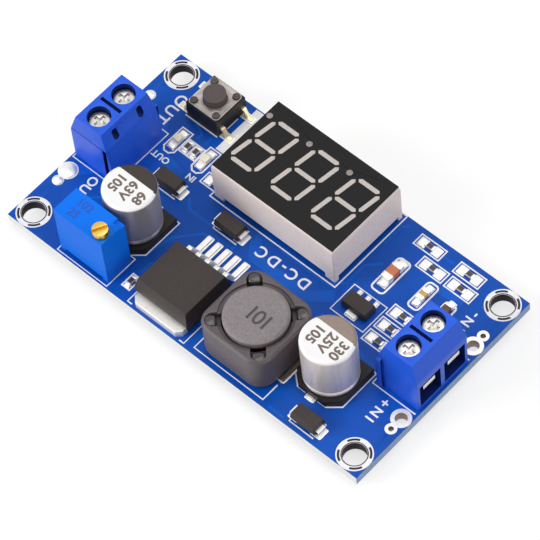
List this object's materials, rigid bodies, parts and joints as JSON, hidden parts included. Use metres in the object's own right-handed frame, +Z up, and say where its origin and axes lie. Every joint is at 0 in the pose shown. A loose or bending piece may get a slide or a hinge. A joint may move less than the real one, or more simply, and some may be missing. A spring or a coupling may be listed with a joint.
{
  "type": "boost converter module",
  "caption": "Blue circuit board with a seven-segment voltmeter, screw terminals at both ends, a trimmer and a push button, stepping a DC voltage up to a set higher one.",
  "frame": {"origin": "middle of the plane that the pin tails stand on", "axes": "+X along the board from the output end to the input end, +Y to the display edge, +Z up through the board"},
  "size_m": [0.066, 0.036, 0.0138],
  "materials": {
    "board_laminate": "blue solder mask over glass epoxy",
    "solder": "bright tin",
    "terminal_nylon": "moulded satin",
    "plated_steel": "nickel plated",
    "display_resin": "moulded satin",
    "display_black": "printed matt",
    "segment_resin": "milky",
    "carrier_laminate": "glass epoxy",
    "button_black": "moulded satin",
    "plunger_black": "moulded satin",
    "gilt_metal": "dull gilt",
    "trimmer_resin": "moulded satin",
    "adjuster_brass": "turned",
    "can_aluminium": "drawn, printed top",
    "mould_epoxy": "moulded matt",
    "ferrite": "pressed matt",
    "copper_wire": "enamelled",
    "chip_ceramic": "glazed",
    "capacitor_ceramic": "fired",
    "lens_resin": "clear"
  },
  "bodies": {
    "board": {"circuit_board": "board_laminate", "tail_solder": "solder", "wire_solder": "solder", "out_terminal_housing": "terminal_nylon", "in_terminal_housing": "terminal_nylon", "out_contacts": "plated_steel", "in_contacts": "plated_steel", "display_shell": "display_resin", "display_face": "display_black", "display_segments": "segment_resin", "display_carrier": "carrier_laminate", "display_pins": "solder", "meter_chip": "mould_epoxy", "meter_chip_leads": "solder", "button_base": "button_black", "button_cover": "plated_steel", "button_dome": "gilt_metal", "button_legs": "gilt_metal", "trimmer_body": "trimmer_resin", "trimmer_pins": "solder", "out_cap_base": "button_black", "out_cap_can": "can_aluminium", "out_cap_leads": "solder", "in_cap_base": "button_black", "in_cap_can": "can_aluminium", "in_cap_leads": "solder", "regulator_mould": "mould_epoxy", "regulator_tab": "solder", "regulator_leads": "solder", "inductor_shield": "ferrite", "inductor_core": "ferrite", "inductor_coil": "copper_wire", "inductor_base": "mould_epoxy", "inductor_terminals": "solder", "boost_diode": "mould_epoxy", "output_diode": "mould_epoxy", "input_diode": "mould_epoxy", "aux_regulator": "mould_epoxy", "boost_diode_leads": "solder", "output_diode_leads": "solder", "input_diode_leads": "solder", "aux_regulator_leads": "solder", "chip_resistors": "chip_ceramic", "chip_resistor_ends": "solder", "ceramic_caps": "capacitor_ceramic", "ceramic_cap_ends": "solder", "indicator_lights": "lens_resin", "indicator_bases": "display_resin"},
    "plunger": {"button_plunger": "plunger_black"},
    "adjuster": {"trimmer_screw": "adjuster_brass"},
    "out_neg_screw": {"out_screw_neg": "plated_steel"},
    "out_neg_cage": {"out_cage_neg": "plated_steel"},
    "out_pos_screw": {"out_screw_pos": "plated_steel"},
    "out_pos_cage": {"out_cage_pos": "plated_steel"},
    "in_neg_screw": {"in_screw_neg": "plated_steel"},
    "in_neg_cage": {"in_cage_neg": "plated_steel"},
    "in_pos_screw": {"in_screw_pos": "plated_steel"},
    "in_pos_cage": {"in_cage_pos": "plated_steel"}
  },
  "joints": [
    {"name": "button_press", "type": "slide", "parent": "board", "child": "plunger", "axis": [0, 0, -1], "range_m": [0, 0.00025], "stiffness_N_per_m": 6400},
    {"name": "trimmer_turn", "type": "hinge", "parent": "board", "child": "adjuster", "pos_m": [-0.0154, -0.0157, 0.0126], "axis": [0, 0, 1], "continuous": true},
    {"name": "out_neg_screw_turn", "type": "hinge", "parent": "board", "child": "out_neg_screw", "pos_m": [-0.02895, -0.0019, 0.0109], "axis": [0, 0, -1], "range_deg": [0, 1081]},
    {"name": "out_neg_cage_lift", "type": "slide", "parent": "board", "child": "out_neg_cage", "axis": [0, 0, 1], "range_m": [0, 0.00135]},
    {"name": "out_pos_screw_turn", "type": "hinge", "parent": "board", "child": "out_pos_screw", "pos_m": [-0.02895, 0.0031, 0.0109], "axis": [0, 0, -1], "range_deg": [0, 1081]},
    {"name": "out_pos_cage_lift", "type": "slide", "parent": "board", "child": "out_pos_cage", "axis": [0, 0, 1], "range_m": [0, 0.00135]},
    {"name": "in_neg_screw_turn", "type": "hinge", "parent": "board", "child": "in_neg_screw", "pos_m": [0.02895, 0.00285, 0.0109], "axis": [0, 0, -1], "range_deg": [0, 1081]},
    {"name": "in_neg_cage_lift", "type": "slide", "parent": "board", "child": "in_neg_cage", "axis": [0, 0, 1], "range_m": [0, 0.00135]},
    {"name": "in_pos_screw_turn", "type": "hinge", "parent": "board", "child": "in_pos_screw", "pos_m": [0.02895, -0.00215, 0.0109], "axis": [0, 0, -1], "range_deg": [0, 1081]},
    {"name": "in_pos_cage_lift", "type": "slide", "parent": "board", "child": "in_pos_cage", "axis": [0, 0, 1], "range_m": [0, 0.00135]}
  ],
  "couplings": [
    {"joint": "out_neg_screw_turn", "follows": "out_neg_cage_lift", "rad_per_m": 13963},
    {"joint": "out_pos_screw_turn", "follows": "out_pos_cage_lift", "rad_per_m": 13963},
    {"joint": "in_neg_screw_turn", "follows": "in_neg_cage_lift", "rad_per_m": 13963},
    {"joint": "in_pos_screw_turn", "follows": "in_pos_cage_lift", "rad_per_m": 13963}
  ]
}
